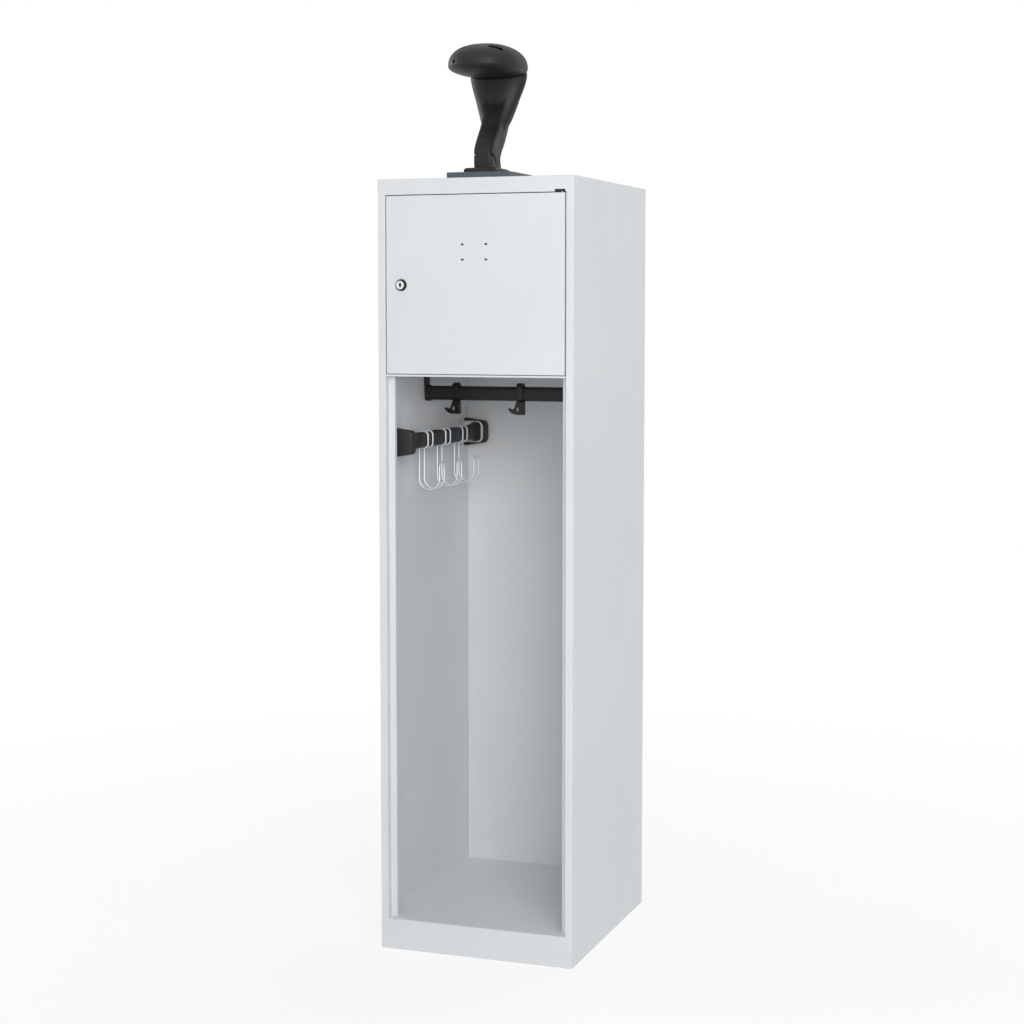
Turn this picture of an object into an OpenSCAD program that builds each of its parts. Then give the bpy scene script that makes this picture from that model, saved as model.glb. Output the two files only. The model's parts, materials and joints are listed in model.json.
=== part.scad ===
// Firefighter locker: a steel cabinet with a locked top compartment, an open
// clothes space with a rail, an arm for belts and gear, and a helmet holder on the roof.
// Origin: on the floor, in the middle of the whole piece as seen from above, dome included. X right, Y back, Z up.

/* [Cabinet] */
// Width of the cabinet
cabinet_w = 500; // [440:10:640]
// Depth of the cabinet
cabinet_d = 600; // [580:10:700]
// Height of the cabinet
cabinet_h = 1900; // [1800:10:2100]
// Height of the inner floor above the ground
floor_h = 77; // [60:1:120]
// Height of the door opening
compartment_h = 432; // [380:1:500]
// Height of the front rail above the door
top_rail_h = 38; // [30:1:50]
// Thickness of the cabinet's sheet steel
sheet_t = 1; // [0.8:0.1:1.2]
// Outer radius of the folds
bend_r = 2; // [1.8:0.1:2.2]
// Width of the front posts
post_w = 19; // [16:1:26]
// Depth of the recess that the door closes into
rebate_d = 22; // [20.5:0.5:26]
// Width of the stop flange behind the door's edge
stop_w = 14.5; // [13:0.5:17]
// Depth of the lip behind the stop flange
stop_lip = 12; // [10:0.5:14]
// Height of the shelf's front edge
shelf_nose_h = 5; // [4.5:0.5:6]
// Width of the welding flanges
flange_w = 15; // [12:1:20]

/* [Door] */
// Depth of the folded door
door_d = 18; // [16:0.5:19]
// Gap beside the door on the lock side
door_gap_lock = 3; // [2.5:0.5:4]
// Gap beside the door on the hinge side
door_gap_hinge = 3.5; // [3:0.5:4]
// Gap above the door
door_gap_top = 2; // [1.5:0.5:3]
// Gap below the door
door_gap_bottom = 1.5; // [1.5:0.1:2.5]
// Width of the door's inner lips
door_lip = 12; // [10:1:15]
// Distance of the hinge axis from the door's edge
hinge_inset = 8; // [7.5:0.5:9]
// Distance of the hinge axis behind the door's face
hinge_setback = 7; // [6.5:0.5:8]
// Diameter of the hinge pins
pin_d = 6; // [5:0.5:7]
// Width between the centres of the label slots
label_w = 60; // [40:1:80]
// Height between the centres of the label slots
label_h = 36.5; // [25:0.5:50]

/* [Lock] */
// Distance of the lock from the door's edge
lock_inset = 39.5; // [34:0.5:60]
// Diameter of the lock's barrel
barrel_d = 18; // [16:1:20]
// Diameter of the collar where it meets the door
collar_d = 29; // [26:1:34]
// Height of the collar
collar_h = 8; // [6:0.5:10]
// Reach of the cam from the lock's axis
cam_reach = 37; // [33:1:40]

/* [Clothes rail] */
// Height of the oval rail
rail_h = 36.5; // [30:0.5:40]
// Depth of the oval rail
rail_d = 18; // [15:0.5:20]
// Wall of the oval rail
rail_wall = 1.5; // [1:0.1:2.5]
// Distance of the rail below the shelf
rail_drop = 52; // [40:1:60]
// Distance of the rail behind the cabinet's front
rail_setback = 300; // [250:1:330]
// Width of a sliding hook's clip
hook_clip_w = 16.5; // [12:0.5:20]
// Thickness of a sliding hook's plate
hook_plate_t = 12; // [8:0.5:14]
// Drop of a sliding hook's plate below the rail
hook_drop = 34.5; // [28:0.5:40]

/* [Equipment arm] */
// Width of the arm
arm_w = 26; // [22:0.5:30]
// Height of the arm
arm_h = 40; // [36:0.5:44]
// Depth of the grooves that hold the wire hooks
groove_depth = 1.75; // [1:0.25:2.5]
// Distance of the arm's middle below the shelf
arm_drop = 185; // [175:1:240]
// Depth of an end cap
cap_d = 28; // [24:1:32]
// Reach of an end cap from the wall
cap_w = 62.5; // [58:0.5:68]
// Height of an end cap
cap_h = 73; // [70:1:80]
// Diameter of the hooks' wire
wire_d = 4; // [3:0.25:4.5]
// Spacing of the two wires of a hook
wire_spacing = 31.8; // [26:0.2:34]
// Width of a wire hook's bend
wire_bend_w = 55; // [45:1:65]
// Distance between the wire hooks, as a share of the arm's length
hook_pitch_share = 0.2248; // [0.19:0.002:0.232]

/* [Helmet holder] */
// Width of the steel base
base_w = 160; // [140:1:180]
// Depth of the steel base
base_d = 165; // [150:1:200]
// Height of the steel base
base_h = 14.5; // [12:0.5:18]
// Height of the stalk between its foot and the dome
stalk_h = 225; // [200:1:260]
// Half width of the dome
dome_rx = 90; // [85:1:100]
// Half depth of the dome
dome_ry = 113; // [105:1:120]
// Height of the dome above its widest line
dome_up = 55; // [50:1:70]
// Wall of the dome
dome_wall = 3; // [2.5:0.1:4]

/* [Hidden] */
$fn = 48;

// Colours
paint = "#dfe2e4";
black_plastic = "#2b2c2e";
steel_grey = "#525a63";
zinc = "#d6d9dc";
rubber_grey = "#3a3a3a";

// Clearances: between welded sheets, round things that slide, round fixed shanks, and one overrun for cuts
weld_gap = 0.3;
slide_gap = 0.3;
shank_gap = 0.05;
pin_gap = 0.05;
over = 1;

// Planes of the cabinet; the dome reaches over the front, and the origin is in the middle of the two
dome_setback = 97.5;
half_w = cabinet_w / 2;
front_y = (dome_ry - dome_setback - cabinet_d) / 2;
back_y = front_y + cabinet_d;
inner_w = half_w - sheet_t;
inner_back_y = back_y - 2 * sheet_t;
wall_top_z = cabinet_h - sheet_t;
mid = sheet_t / 2;
bend_mid = bend_r - mid;
bend_inner_r = bend_r - sheet_t;
opening_x = half_w - post_w;
stop_x = opening_x - stop_w;
stop_y = front_y + rebate_d;
lip_y = stop_y + stop_lip;
opening_top_z = cabinet_h - top_rail_h;
opening_bottom_z = opening_top_z - compartment_h;
nose_bottom_z = opening_bottom_z - shelf_nose_h;
shelf_lip = 10;
shelf_top_z = opening_bottom_z + stop_w;
shelf_under_z = shelf_top_z - sheet_t;
plinth_return = 20;
floor_under_z = floor_h - sheet_t;

// Row of slots in the floor
floor_slots = 14;
floor_slot_pitch = 21.8;
floor_slot_w = 14;
floor_slot_d = 3;
floor_slot_setback = 45;

// Door
door_left_x = -opening_x + door_gap_lock;
door_right_x = opening_x - door_gap_hinge;
door_bottom_z = opening_bottom_z + door_gap_bottom;
door_top_z = opening_top_z - door_gap_top;
door_back_y = front_y + door_d;
skin_back_y = front_y + sheet_t;
label_drop = 136.5;
label_z = door_top_z - label_drop;
label_slot_w = 6.5;
label_slot_h = 3.5;
stiffener_x = door_right_x / 2;
stiffener_foot = 12;
stiffener_w = 26;
stiffener_depth = 12;
stiffener_end_gap = 20;

// Door hinge
hinge_x = door_right_x - hinge_inset;
hinge_y = front_y + hinge_setback;
block_w = 26;
block_h = 6;
block_side_gap = 2;
block_right_x = opening_x - block_side_gap;
block_left_x = block_right_x - block_w;
block_back_y = stop_y - bend_r;
block_set_in = 0.4;
block_ear = 1.5;
block_ear_h = 2;
pin_collar_d = 10;
pin_collar_h = 2;
pin_in_block = 4.5;
bush_d = 9;
bush_flange_d = 12;
bush_flange_h = 1;
pin_in_bush = 4;

// Door buffers
buffer_d = 10;
buffer_h = stop_y - door_back_y - slide_gap;
buffer_stem_d = 4;
buffer_stem_l = 4;
buffer_x = -(opening_x + stop_x) / 2;
buffer_inset = 50;
buffer_zs = [door_bottom_z + buffer_inset, door_top_z - buffer_inset];

// Lock
lock_x = door_left_x + lock_inset;
lock_z = (door_bottom_z + door_top_z) / 2;
collar_front_d = 23;
collar_recess = 2.5;
face_d = 20;
core_d = 12;
barrel_l = 35.7;
cam_t = 3;
cam_w = 16;
cam_square = 8;
nut_flat_w = 24;
nut_t = 5;
keyhole_w = 8;
keyhole_h = 15;
keyhole_recess = 1.2;
key_slot_w = 2.4;
key_slot_h = 8.5;
key_slot_depth = 6;
cam_screw_d = 5;
cam_screw_head_d = 11;
cam_screw_head_h = 3;
cam_screw_l = 14;

// Clothes rail
rail_y = front_y + rail_setback;
rail_z = shelf_top_z - rail_drop - rail_h / 2;
bracket_x = inner_w - sheet_t;
bracket_t = 5;
bracket_d = 28;
socket_l = 14;
socket_wall = 2.45;
bracket_foot_w = 30;
bracket_foot_t = 4;
rail_screw_d = 4;
rail_screw_head_d = 8;
rail_screw_head_h = 2.5;
rail_screw_proud = 2;
rail_screw_inset = 11;
rail_screw_x = -bracket_x + bracket_foot_w - rail_screw_inset;
rail_screw_spread = 16;

// Sliding hooks on the rail
clip_wall = 3;
clip_top = 9;
hook_1_from_wall = 85.75;
hook_1_x = -inner_w + hook_1_from_wall;
hook_2_x = 11.1;
hook_reach = 30.3;
hook_round = 2;
// Outline of a hook's plate: x as a share of the reach, z as a share of the drop
hook_outline_shares = [
  [0.413, 0.02], [0.413, -1], [-0.26, -1], [-0.56, -0.95], [-0.78, -0.84], [-1, -0.6],
  [-1, -0.5], [-0.88, -0.5], [-0.68, -0.62], [-0.48, -0.53], [-0.4, -0.36], [-0.27, 0.02]
];
hook_hole_x = -6.3;
hook_hole_z = -20;
hook_hole_d = 9;
hook_hole_h = 16;

// Equipment arm
wall_plate_t = 1.5;
wall_plate_h = 78;
arm_setback = 56;
arm_back_gap = 8;
arm_front_y = front_y + arm_setback;
arm_back_y = back_y - arm_back_gap;
arm_l = arm_back_y - arm_front_y;
// Shares of the arm's length: to the first hook, of the flare at each end, and of the collar before the first hook
hook_first_share = 0.3036;
arm_flare_share = 0.0933;
front_collar_share = 0.084;
arm_z = shelf_top_z - arm_drop;
end_plate_inset = 17;
end_plate_t = 2;
end_plate_h = 58;
cap_wall = 7.2;
cap_end_t = 3;
cap_r = 24;
cap_round = 4;
wall_x = -inner_w;
cap_wall_x = wall_x + wall_plate_t;
arm_from_wall = 32;
arm_x = wall_x + arm_from_wall;
arm_r = 9.5;
arm_end_h = 52;
arm_end_w = 30;
arm_flare = arm_l * arm_flare_share;
collar_end = 4;
groove_play = 6.1;
groove_w = wire_spacing + wire_d + 2 * groove_play;
hook_first_y = arm_front_y + arm_l * hook_first_share;
hook_pitch = arm_l * hook_pitch_share;
arm_start_y = arm_front_y + end_plate_inset + end_plate_t;
arm_end_y = arm_back_y - end_plate_inset - end_plate_t;
front_collar_l = arm_l * front_collar_share;
thin = 0.5;
cap_slice_angle = 22.5;
arm_screw_d = 6;
arm_screw_head_d = 12;
arm_screw_head_h = 3;
arm_screw_l = 20;
wall_screw_d = 4;
wall_screw_head_d = 8;
wall_screw_head_h = 2;
wall_screw_rise = 30;
wall_screw_inset = 60;

// Wire hooks
wire_gap = 0.3;
wire_end_l = 10;
wire_leg_set_in = 10;
wire_leg_r = 6;
wire_drop = 126.5;
wire_tip_drop = 57.5;

// Helmet holder
base_setback = 25;
base_front_y = front_y + base_setback;
base_t = 2.5;
foot_w = 84;
foot_setback = 38;
foot_front_y = front_y + foot_setback;
foot_d = 98;
foot_h = 11;
foot_bevel = 4;
base_top_z = cabinet_h + base_h;
foot_top_z = base_top_z + foot_h;
bolt_d = 6;
bolt_head_d = 10;
bolt_head_h = 3;
bolt_x = 33;
bolt_spread_y = 78;
bolt_y = foot_front_y + foot_d / 2;
bolt_tail = 10;
bolt_sink = 3.5;
nut_w = 10;
nut_h = 5;
stalk_w = 142;
stalk_d = 100;
stalk_setback = 58;
stalk_front_y = front_y + stalk_setback;
// Rings of the leg from the foot up: height as a share of the stalk's height, front and back as shares of
// the stalk's depth behind its setback, and width as a share of the stalk's width
leg_ring_shares = [
  [0, -0.01, 0.73, 0.335], [0.07, -0.02, 0.68, 0.335], [0.116, -0.02, 0.66, 0.335], [0.196, 0, 0.77, 0.34],
  [0.25, 0.07, 0.88, 0.345], [0.307, 0.18, 0.97, 0.354], [0.378, 0.33, 1.06, 0.366], [0.45, 0.48, 1.16, 0.373],
  [0.52, 0.58, 1.23, 0.373], [0.6, 0.68, 1.26, 0.373], [0.7, 0.79, 1.28, 0.37], [0.8, 0.86, 1.29, 0.366]
];
leg_squareness = 9;
// Rings of the cone from its tip up to the dome, in the same shares
cone_ring_shares = [
  [0.33, 0.63, 0.87, 0.3], [0.373, 0.58, 1, 0.362], [0.42, 0.59, 1.11, 0.39], [0.47, 0.59, 1.21, 0.437],
  [0.53, 0.61, 1.27, 0.525], [0.6, 0.66, 1.31, 0.61], [0.68, 0.73, 1.32, 0.703], [0.76, 0.78, 1.32, 0.79],
  [0.86, 0.81, 1.37, 0.903], [0.93, 0.82, 1.41, 0.97], [1, 0.82, 1.43, 1.015], [1.06, 0.84, 1.42, 1.01]
];
cone_squareness = 2.3;
stalk_sides = 48;
recess_w = 51;
recess_top_share = 0.765;
recess_foot_share = 0.4;
recess_sag = 9;

// The tongue of the foot that stands in the stalk's front, and the round knuckle below it
tongue_w = 39;
tongue_depth = 14;
tongue_top_share = 0.297;
tongue_gap = 1;
knuckle_r = 30;
knuckle_gap = 3;

// Dome
dome_y = front_y + dome_setback;
dome_down = 22.5;
dome_sides = 48;
dome_steps = 8;
dome_low_steps = 4;
dome_low_angle = -66;
dome_high_angle = 84;
dome_squareness = 2.3;
dome_rise = 17;
vent_l = 33;
vent_w = 9;
vent_x = 45;
vent_setback = 71;
vent_turn = 18;
strap_slot_w = 6;
strap_slot_h = 9;
strap_slot_x = 50;
strap_slot_rise = 6;

// Shared shapes

function unit(v) = v / norm(v);

module quarter_ring(inner, outer) {
  intersection() {
    difference() {
      circle(r = outer);
      circle(r = inner);
    }
    square(outer);
  }
}

// A folded sheet in section: path is the line through the middle of the sheet, with square corners
module folded_section(path) {
  last = len(path) - 1;
  for (i = [0 : last - 1]) {
    way = unit(path[i + 1] - path[i]);
    start = path[i] + way * (i == 0 ? 0 : bend_mid);
    stop = path[i + 1] - way * (i + 1 == last ? 0 : bend_mid);
    translate(start)
      rotate(atan2(way.y, way.x))
        translate([0, -mid])
          square([norm(stop - start), sheet_t]);
    if (i + 1 < last) {
      next = unit(path[i + 2] - path[i + 1]);
      side = way - next;
      translate(path[i + 1] + (next - way) * bend_mid)
        rotate(atan2(side.y, side.x) - 45)
          quarter_ring(bend_mid - mid, bend_mid + mid);
    }
  }
}

// Extrudes a section drawn as (Y, Z) along X, or one drawn as (X, Z) along Y
module along_x(from, to) {
  translate([from, 0, 0])
    rotate([90, 0, 90])
      linear_extrude(to - from)
        children();
}

module along_y(from, to) {
  translate([0, to, 0])
    rotate([90, 0, 0])
      linear_extrude(to - from)
        children();
}

module box(low, high) {
  translate(low)
    cube(high - low);
}

module both_sides() {
  for (side = [0, 1])
    mirror([side, 0, 0])
      children();
}

// A rectangle with four round corners, about its middle
module round_rect(w, h, r) {
  square([w - 2 * r, h], center = true);
  square([w, h - 2 * r], center = true);
  for (x = [-1, 1], z = [-1, 1])
    translate([x * (w / 2 - r), z * (h / 2 - r)])
      circle(r = r);
}

// A slot with round ends, about its middle
module stadium(w, h) {
  r = min(w, h) / 2;
  square([w > h ? w - 2 * r : w, h > w ? h - 2 * r : h], center = true);
  for (side = [-1, 1])
    translate([side * (w / 2 - r), side * (h / 2 - r)])
      circle(r = r);
}

// A turned shape whose axis points at the viewer: its profile is (radius, distance in front)
module turned_to_front() {
  rotate([90, 0, 0])
    rotate_extrude()
      children();
}

// The space that the two posts take up in plan, with the welding gap round it
module post_space(low, high) {
  both_sides() {
    box([opening_x - weld_gap, front_y - over, low], [half_w + over, stop_y + weld_gap, high]);
    box([stop_x - weld_gap, stop_y - weld_gap, low], [half_w + over, lip_y + weld_gap, high]);
  }
}

// Cabinet shell

module side_panel() {
  path = [
    [-half_w + flange_w, back_y - mid],
    [-half_w + mid, back_y - mid],
    [-half_w + mid, front_y + mid],
    [-opening_x - mid, front_y + mid],
    [-opening_x - mid, stop_y + mid],
    [-stop_x - mid, stop_y + mid],
    [-stop_x - mid, lip_y]
  ];
  linear_extrude(wall_top_z)
    folded_section(path);
}

module side_panel_left() {
  color(paint)
    difference() {
      side_panel();
      for (z = buffer_zs)
        translate([buffer_x, stop_y - over, z])
          rotate([-90, 0, 0])
            cylinder(d = buffer_stem_d + 2 * shank_gap, h = sheet_t + 2 * over);
      arm_wall_screw_places()
        rotate([0, -90, 0])
          cylinder(d = wall_screw_d + 2 * shank_gap, h = wall_plate_t + sheet_t + over);
    }
}

module side_panel_right() {
  color(paint)
    mirror([1, 0, 0])
      side_panel();
}

module back_panel() {
  color(paint)
    box([-inner_w + bend_inner_r, inner_back_y, 0], [inner_w - bend_inner_r, back_y - sheet_t, wall_top_z]);
}

module cabinet_plan() {
  translate([-half_w, front_y + bend_r])
    square([cabinet_w, cabinet_d - bend_r]);
  translate([-half_w + bend_r, front_y])
    square([cabinet_w - 2 * bend_r, bend_r]);
  for (side = [-1, 1])
    translate([side * (half_w - bend_r), front_y + bend_r])
      circle(r = bend_r);
}

module hinge_notch() {
  box([block_left_x, front_y - over, opening_top_z - over],
    [block_right_x, block_back_y, opening_top_z + block_h]);
}

module roof_panel() {
  path = [
    [back_y, cabinet_h - mid],
    [front_y + mid, cabinet_h - mid],
    [front_y + mid, opening_top_z + mid],
    [stop_y + mid, opening_top_z + mid],
    [stop_y + mid, opening_top_z - stop_w]
  ];
  color(paint) {
    difference() {
      intersection() {
        along_x(-half_w, half_w)
          folded_section(path);
        linear_extrude(cabinet_h)
          cabinet_plan();
      }
      post_space(0, wall_top_z);
      both_sides()
        box([inner_w, front_y - over, 0], [half_w + over, lip_y + over, wall_top_z]);
      hinge_notch();
      bolt_places()
        cylinder(d = bolt_d + 2 * shank_gap, h = 2 * (foot_h + base_h + bolt_tail), center = true);
    }
    both_sides()
      box([inner_w - sheet_t, lip_y + weld_gap, wall_top_z - flange_w],
        [inner_w, inner_back_y, wall_top_z]);
  }
}

module floor_panel() {
  color(paint)
    difference() {
      union() {
        box([-inner_w, front_y, floor_under_z], [inner_w, inner_back_y, floor_h]);
        box([-inner_w, inner_back_y - sheet_t, floor_h - flange_w], [inner_w, inner_back_y, floor_h]);
        both_sides()
          box([inner_w - sheet_t, lip_y + weld_gap, floor_h - flange_w], [inner_w, inner_back_y, floor_h]);
      }
      post_space(0, floor_h + over);
      for (i = [0 : floor_slots - 1])
        translate([(i - (floor_slots - 1) / 2) * floor_slot_pitch, back_y - floor_slot_setback, 0])
          linear_extrude(floor_h + over)
            stadium(floor_slot_w, floor_slot_d);
    }
}

module plinth() {
  path = [
    [front_y + plinth_return, floor_under_z - mid],
    [front_y + mid, floor_under_z - mid],
    [front_y + mid, mid],
    [front_y + plinth_return, mid]
  ];
  color(paint)
    along_x(-opening_x + weld_gap, opening_x - weld_gap)
      folded_section(path);
}

module compartment_shelf() {
  path = [
    [front_y + shelf_lip, nose_bottom_z + mid],
    [front_y + mid, nose_bottom_z + mid],
    [front_y + mid, opening_bottom_z - mid],
    [stop_y + mid, opening_bottom_z - mid],
    [stop_y + mid, shelf_top_z - mid],
    [inner_back_y - mid, shelf_top_z - mid],
    [inner_back_y - mid, shelf_top_z - flange_w]
  ];
  color(paint) {
    difference() {
      along_x(-inner_w, inner_w)
        folded_section(path);
      post_space(0, cabinet_h);
      translate([hinge_x, hinge_y, nose_bottom_z + sheet_t])
        cylinder(d = bush_d + 2 * shank_gap, h = shelf_nose_h);
      rail_screw_places()
        cylinder(d = rail_screw_d + 2 * shank_gap, h = 2 * shelf_nose_h, center = true);
    }
    both_sides()
      box([inner_w - sheet_t, lip_y + weld_gap, shelf_top_z - flange_w], [inner_w, inner_back_y, shelf_top_z]);
  }
}

// Hinge

module hinge_block_top() {
  front = front_y + block_set_in;
  ear_low = opening_top_z + sheet_t;
  color(black_plastic)
    difference() {
      union() {
        box([block_left_x, front, opening_top_z], [block_right_x, block_back_y, opening_top_z + block_h]);
        box([block_left_x - block_ear, front_y + bend_r, ear_low],
          [block_right_x + block_ear, block_back_y, ear_low + block_ear_h]);
      }
      translate([hinge_x, hinge_y, opening_top_z - over])
        cylinder(d = pin_d + 2 * pin_gap, h = block_h + 2 * over);
    }
}

module hinge_bush_bottom() {
  bush_low = nose_bottom_z + sheet_t;
  color(black_plastic)
    translate([hinge_x, hinge_y, 0])
      difference() {
        union() {
          translate([0, 0, bush_low])
            cylinder(d = bush_d, h = opening_bottom_z - bush_low);
          translate([0, 0, opening_bottom_z])
            cylinder(d = bush_flange_d, h = bush_flange_h);
        }
        translate([0, 0, bush_low - over])
          cylinder(d = pin_d + 2 * pin_gap, h = shelf_nose_h + bush_flange_h + over);
      }
}

// A hinge pin that stands on its collar, which lies against the door's folded edge
module hinge_pin(length) {
  cylinder(d = pin_d, h = length - pin_d / 8);
  translate([0, 0, length - pin_d / 8])
    cylinder(d1 = pin_d, d2 = pin_d * 3 / 4, h = pin_d / 8);
  translate([0, 0, -pin_collar_h])
    cylinder(d = pin_collar_d, h = pin_collar_h);
}

module hinge_pin_top() {
  seat = door_top_z - sheet_t;
  color(zinc)
    translate([hinge_x, hinge_y, seat])
      hinge_pin(opening_top_z + pin_in_block - seat);
}

module hinge_pin_bottom() {
  seat = door_bottom_z + sheet_t;
  color(zinc)
    translate([hinge_x, hinge_y, seat])
      mirror([0, 0, 1])
        hinge_pin(seat - opening_bottom_z - bush_flange_h + pin_in_bush);
}

module door_buffers() {
  color(rubber_grey)
    for (z = buffer_zs)
      translate([buffer_x, stop_y, z])
        turned_to_front() {
          square([buffer_d / 2, buffer_h / 2]);
          intersection() {
            translate([0, buffer_h / 2])
              square([buffer_d / 2, buffer_h / 2]);
            translate([buffer_d / 2 - buffer_h / 2, buffer_h / 2])
              circle(r = buffer_h / 2);
          }
          square([buffer_d / 2 - buffer_h / 2, buffer_h]);
          translate([0, -buffer_stem_l])
            square([buffer_stem_d / 2, buffer_stem_l]);
        }
}

// Door

// The door as a solid block whose four front edges are rounded, set in all round
module door_block(set_in) {
  r = bend_r - set_in;
  left = door_left_x + set_in;
  right = door_right_x - set_in;
  low = door_bottom_z + set_in;
  high = door_top_z - set_in;
  front = front_y + set_in;
  back = door_back_y - set_in;
  intersection() {
    translate([0, 0, low])
      linear_extrude(high - low) {
        translate([left, front + r])
          square([right - left, back - front - r]);
        translate([left + r, front])
          square([right - left - 2 * r, r]);
        for (x = [left + r, right - r])
          translate([x, front + r])
            circle(r = r);
      }
    along_x(left, right) {
      translate([front + r, low])
        square([back - front - r, high - low]);
      translate([front, low + r])
        square([r, high - low - 2 * r]);
      for (z = [low + r, high - r])
        translate([front + r, z])
          circle(r = r);
    }
  }
}

module door_panel() {
  color(paint)
    difference() {
      door_block(0);
      door_block(sheet_t);
      box([door_left_x + door_lip, door_back_y - 2 * sheet_t, door_bottom_z + door_lip],
        [door_right_x - door_lip, door_back_y + over, door_top_z - door_lip]);
      translate([lock_x, skin_back_y + over, lock_z])
        rotate([90, 0, 0])
          cylinder(d = barrel_d + 2 * shank_gap, h = sheet_t + 2 * over);
      for (x = [-1, 1], z = [0, 1])
        along_y(front_y - over, skin_back_y + over)
          translate([x * label_w / 2, label_z + (z - 1 / 2) * label_h])
            stadium(label_slot_w, label_slot_h);
      for (z = [door_bottom_z + mid, door_top_z - mid])
        translate([hinge_x, hinge_y, z])
          cylinder(d = pin_d + 2 * shank_gap, h = sheet_t + over, center = true);
    }
}

module door_stiffener() {
  foot_y = skin_back_y + mid;
  top_y = skin_back_y + stiffener_depth - mid;
  web = stiffener_w / 2 - mid;
  path = [
    [-web - stiffener_foot, foot_y], [-web, foot_y], [-web, top_y],
    [web, top_y], [web, foot_y], [web + stiffener_foot, foot_y]
  ];
  color(paint)
    translate([stiffener_x, 0, door_bottom_z + stiffener_end_gap])
      linear_extrude(door_top_z - door_bottom_z - 2 * stiffener_end_gap)
        folded_section(path);
}

// Lock, drawn about its axis: distances in front of the door's face are positive

module at_lock() {
  translate([lock_x, front_y, lock_z])
    children();
}

module lock_housing() {
  recess = collar_h - collar_recess;
  bore = core_d / 2 + pin_gap;
  face_hole = face_d / 2 + slide_gap;
  color(black_plastic)
    at_lock()
      turned_to_front()
        polygon([
          [bore, -barrel_l], [barrel_d / 2, -barrel_l], [barrel_d / 2, 0], [collar_d / 2, 0],
          [collar_d / 2, sheet_t], [collar_front_d / 2, collar_h], [face_hole, collar_h],
          [face_hole, recess], [bore, recess]
        ]);
}

module lock_nut() {
  color(zinc)
    at_lock()
      translate([0, sheet_t, 0])
        rotate([-90, 0, 0])
          difference() {
            cylinder(r = nut_flat_w / sqrt(3), h = nut_t, $fn = 6);
            translate([0, 0, -over])
              cylinder(d = barrel_d + 2 * shank_gap, h = nut_t + 2 * over);
          }
}

module lock_core() {
  cam_front = barrel_l + slide_gap;
  color(zinc)
    at_lock()
      difference() {
        union() {
          turned_to_front() {
            translate([0, collar_h - collar_recess + slide_gap])
              square([face_d / 2, collar_recess - slide_gap]);
            translate([0, -cam_front])
              square([core_d / 2, cam_front + collar_h - collar_recess + slide_gap]);
          }
          along_y(cam_front, cam_front + cam_t)
            square(cam_square, center = true);
        }
        along_y(-collar_h - over, -collar_h + keyhole_recess)
          polygon([
            [0, keyhole_h / 2], [keyhole_w / 2, 0], [0, -keyhole_h / 2], [-keyhole_w / 2, 0]
          ]);
        along_y(-collar_h, -collar_h + key_slot_depth)
          square([key_slot_w, key_slot_h], center = true);
        translate([0, cam_front + cam_t + over, 0])
          rotate([90, 0, 0])
            cylinder(d = cam_screw_d + 2 * shank_gap, h = cam_screw_l + over + sheet_t);
      }
}

module lock_cam() {
  cam_front = barrel_l + slide_gap;
  color(zinc)
    at_lock()
      along_y(cam_front, cam_front + cam_t)
        difference() {
          union() {
            circle(d = cam_w);
            translate([-cam_w / 2, 0])
              square([cam_w, cam_reach - cam_w / 4]);
            translate([-cam_w / 4, 0])
              square([cam_w / 2, cam_reach]);
            for (x = [-1, 1])
              translate([x * cam_w / 4, cam_reach - cam_w / 4])
                circle(r = cam_w / 4);
          }
          square(cam_square + 2 * shank_gap, center = true);
        }
}

module cam_screw() {
  back = barrel_l + slide_gap + cam_t;
  color(zinc)
    at_lock()
      turned_to_front() {
        translate([0, -back])
          square([cam_screw_d / 2, cam_screw_l]);
        translate([0, -back - cam_screw_head_h])
          square([cam_screw_head_d / 2, cam_screw_head_h]);
      }
}

// Clothes rail and its sliding hooks

// The rail's outline as (Y, Z) about its own middle, made larger all round
module rail_outline(grow) {
  stadium(rail_d + 2 * grow, rail_h + 2 * grow);
}

module rail_screw_places() {
  both_sides()
    for (y = [-1, 1])
      translate([rail_screw_x, rail_y + y * rail_screw_spread / 2, shelf_top_z])
        children();
}

module rail_bracket() {
  foot_low = shelf_under_z - bracket_foot_t;
  socket_r = rail_d / 2 + socket_wall;
  difference() {
    union() {
      along_x(-bracket_x, -bracket_x + socket_l)
        translate([rail_y, rail_z])
          rail_outline(socket_wall);
      box([-bracket_x, rail_y - bracket_d / 2, rail_z], [-bracket_x + bracket_t, rail_y + bracket_d / 2, shelf_under_z]);
      box([-bracket_x, rail_y - bracket_d / 2, foot_low],
        [-bracket_x + bracket_foot_w, rail_y + bracket_d / 2, shelf_under_z]);
    }
    along_x(-bracket_x + bracket_t, -bracket_x + socket_l + over)
      translate([rail_y, rail_z])
        rail_outline(shank_gap);
    rail_screw_places()
      cylinder(d = rail_screw_d + 2 * shank_gap, h = 4 * bracket_foot_t, center = true);
  }
}

module rail_bracket_left() {
  color(black_plastic)
    rail_bracket();
}

module rail_bracket_right() {
  color(black_plastic)
    mirror([1, 0, 0])
      rail_bracket();
}

module clothes_rail() {
  color(black_plastic)
    along_x(-bracket_x + bracket_t, bracket_x - bracket_t)
      translate([rail_y, rail_z])
        difference() {
          rail_outline(0);
          rail_outline(-rail_wall);
        }
}

module rail_screws() {
  head_low = -sheet_t - bracket_foot_t - rail_screw_head_h;
  color(zinc)
    rail_screw_places() {
      translate([0, 0, head_low])
        cylinder(d = rail_screw_head_d, h = rail_screw_head_h);
      translate([0, 0, head_low])
        cylinder(d = rail_screw_d, h = -head_low + rail_screw_proud);
    }
}

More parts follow.
